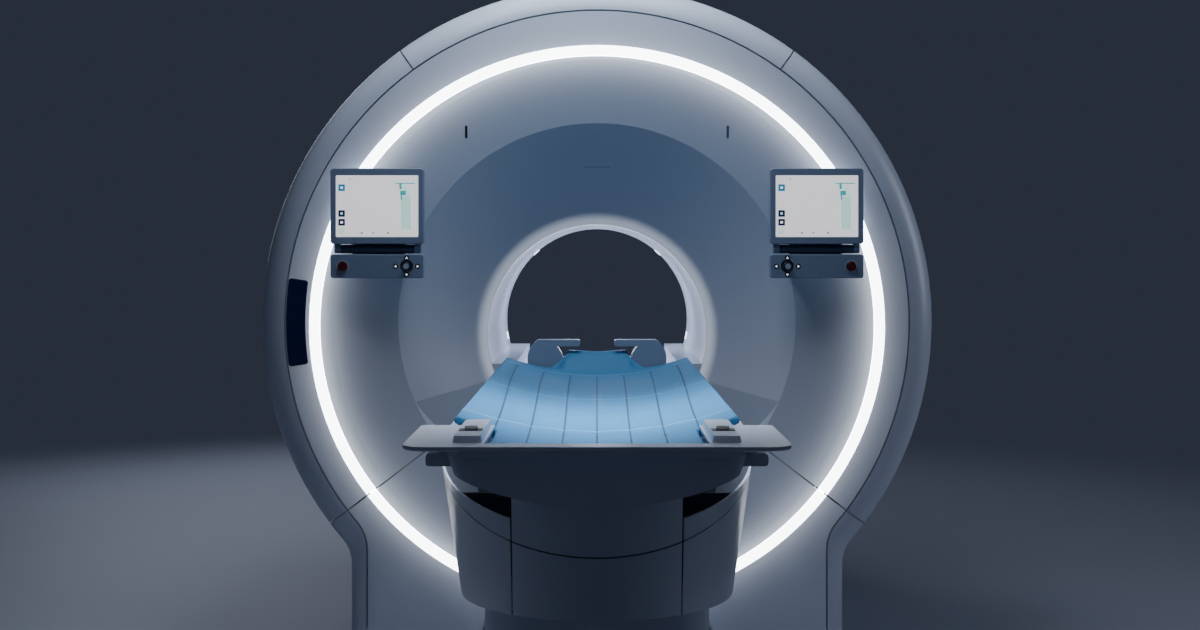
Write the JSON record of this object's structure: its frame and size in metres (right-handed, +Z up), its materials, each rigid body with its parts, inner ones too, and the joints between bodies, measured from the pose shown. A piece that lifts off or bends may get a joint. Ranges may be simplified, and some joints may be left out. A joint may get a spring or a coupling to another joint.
{
  "type": "mri scanner",
  "caption": "Whole-body magnetic resonance scanner: round lit face on a cylindrical magnet, and a padded patient table that lifts and slides into the bore.",
  "frame": {"origin": "on the floor under the isocentre, at the centre of the magnet's floor anchors", "axes": "+Z up; +Y along the bore from the table towards the back; +X to the right when facing the scanner from the table"},
  "size_m": [2.0658, 3.893, 2.0499],
  "materials": {
    "cover_white": "satin moulded cover",
    "light_acrylic": "frosted acrylic, lit",
    "lamp_strip": "lamp strip",
    "liner_white": "smooth moulded",
    "steel": "machined",
    "painted_steel": "powder coat",
    "copper_resin": "wound copper in resin",
    "resin": "cast resin",
    "board": "moulded laminate",
    "mattress_vinyl": "coated blue fabric",
    "grey_plastic": "satin",
    "dark_plastic": "satin",
    "screen": "display glass, lit",
    "button_red": "moulded",
    "arrow_white": "lit",
    "belt_rubber": "toothed belt",
    "aluminium": "anodised"
  },
  "bodies": {
    "magnet": {"front_cover_upper": "cover_white", "front_cover_lower": "cover_white", "rim_cover_top": "cover_white", "rim_side_covers": "cover_white", "base_covers": "cover_white", "barrel_covers": "cover_white", "rear_cover": "cover_white", "cover_frame": "aluminium", "light_strip": "lamp_strip", "light_ring": "light_acrylic", "bore_liner": "liner_white", "bore_lamps": "light_acrylic", "bore_bridge": "liner_white", "cryostat_vessel": "steel", "helium_vessel": "steel", "magnet_coils": "copper_resin", "gradient_coil": "resin", "body_coil": "resin", "cold_head": "aluminium", "magnet_feet": "painted_steel", "floor_frame": "painted_steel", "plinth_cover": "cover_white", "column_outer": "painted_steel", "lift_actuator": "painted_steel", "display_brackets": "cover_white", "display_hinges": "dark_plastic", "control_panels": "grey_plastic", "arrow_lights": "arrow_white"},
    "middle_stage": {"plinth_sleeve": "cover_white", "column_middle": "painted_steel"},
    "table": {"column_inner": "painted_steel", "actuator_rod": "steel", "table_frame": "painted_steel", "glide_strips": "dark_plastic", "drive_belt": "belt_rubber", "table_motor": "painted_steel", "upper_shell": "cover_white", "foot_crossbeam": "cover_white", "tub_flanks": "cover_white", "tub_rims": "cover_white", "nose_panel_lower": "cover_white", "nose_panel_upper": "cover_white"},
    "patient_board": {"tabletop": "board", "foot_plate": "board", "mattress": "mattress_vinyl", "head_docks": "grey_plastic"},
    "drive_pulley": {"drive_pulley": "aluminium"},
    "idler_pulley": {"idler_pulley": "aluminium"},
    "display_left": {"display_housing_left": "grey_plastic", "display_screen_left": "screen"},
    "stop_button_left": {"stop_button_left": "button_red"},
    "joystick_gimbal_left": {"joystick_gimbal_left": "steel"},
    "joystick_knob_left": {"joystick_knob_left": "dark_plastic"},
    "thumb_latch_left": {"thumb_latch_left": "dark_plastic"},
    "display_right": {"display_housing_right": "grey_plastic", "display_screen_right": "screen"},
    "stop_button_right": {"stop_button_right": "button_red"},
    "joystick_gimbal_right": {"joystick_gimbal_right": "steel"},
    "joystick_knob_right": {"joystick_knob_right": "dark_plastic"},
    "thumb_latch_right": {"thumb_latch_right": "dark_plastic"}
  },
  "joints": [
    {"name": "table_lift", "type": "slide", "parent": "magnet", "child": "table", "axis": [0, 0, 1], "range_m": [-0.36, 0]},
    {"name": "middle_stage_lift", "type": "slide", "parent": "magnet", "child": "middle_stage", "axis": [0, 0, 1], "range_m": [-0.18, 0]},
    {"name": "board_slide", "type": "slide", "parent": "table", "child": "patient_board", "axis": [0, 1, 0], "range_m": [0, 1.5]},
    {"name": "drive_pulley_spin", "type": "hinge", "parent": "table", "child": "drive_pulley", "pos_m": [0.117, -1.1, 0.8], "axis": [1, 0, 0], "range_deg": [-3100, 0]},
    {"name": "idler_pulley_spin", "type": "hinge", "parent": "table", "child": "idler_pulley", "pos_m": [0.117, -2.8, 0.8], "axis": [1, 0, 0], "range_deg": [-3100, 0]},
    {"name": "display_tilt_left", "type": "hinge", "parent": "magnet", "child": "display_left", "pos_m": [-0.662, -0.884, 1.24], "axis": [1, 0, 0], "range_deg": [0, 20]},
    {"name": "stop_press_left", "type": "slide", "parent": "magnet", "child": "stop_button_left", "axis": [0, 1, 0], "range_m": [0, 0.004], "stiffness_N_per_m": 800},
    {"name": "joystick_nod_left", "type": "hinge", "parent": "magnet", "child": "joystick_gimbal_left", "pos_m": [-0.573, -0.897, 1.188], "axis": [1, 0, 0], "range_deg": [-12, 12], "stiffness_Nm_per_rad": 0.15},
    {"name": "joystick_sway_left", "type": "hinge", "parent": "joystick_gimbal_left", "child": "joystick_knob_left", "pos_m": [-0.573, -0.897, 1.188], "axis": [0, 0, 1], "range_deg": [-12, 12], "stiffness_Nm_per_rad": 0.15},
    {"name": "latch_turn_left", "type": "hinge", "parent": "patient_board", "child": "thumb_latch_left", "pos_m": [-0.226, -2.93, 0.907], "axis": [1, 0, 0], "range_deg": [0, 18], "stiffness_Nm_per_rad": 0.2},
    {"name": "display_tilt_right", "type": "hinge", "parent": "magnet", "child": "display_right", "pos_m": [0.662, -0.884, 1.24], "axis": [1, 0, 0], "range_deg": [0, 20]},
    {"name": "stop_press_right", "type": "slide", "parent": "magnet", "child": "stop_button_right", "axis": [0, 1, 0], "range_m": [0, 0.004], "stiffness_N_per_m": 800},
    {"name": "joystick_nod_right", "type": "hinge", "parent": "magnet", "child": "joystick_gimbal_right", "pos_m": [0.573, -0.897, 1.188], "axis": [1, 0, 0], "range_deg": [-12, 12], "stiffness_Nm_per_rad": 0.15},
    {"name": "joystick_sway_right", "type": "hinge", "parent": "joystick_gimbal_right", "child": "joystick_knob_right", "pos_m": [0.573, -0.897, 1.188], "axis": [0, 0, 1], "range_deg": [-12, 12], "stiffness_Nm_per_rad": 0.15},
    {"name": "latch_turn_right", "type": "hinge", "parent": "patient_board", "child": "thumb_latch_right", "pos_m": [0.226, -2.93, 0.907], "axis": [1, 0, 0], "range_deg": [0, 18], "stiffness_Nm_per_rad": 0.2}
  ],
  "couplings": [
    {"joint": "middle_stage_lift", "follows": "table_lift", "ratio": 0.5},
    {"joint": "drive_pulley_spin", "follows": "board_slide", "rad_per_m": -35.714},
    {"joint": "idler_pulley_spin", "follows": "board_slide", "rad_per_m": -35.714}
  ]
}
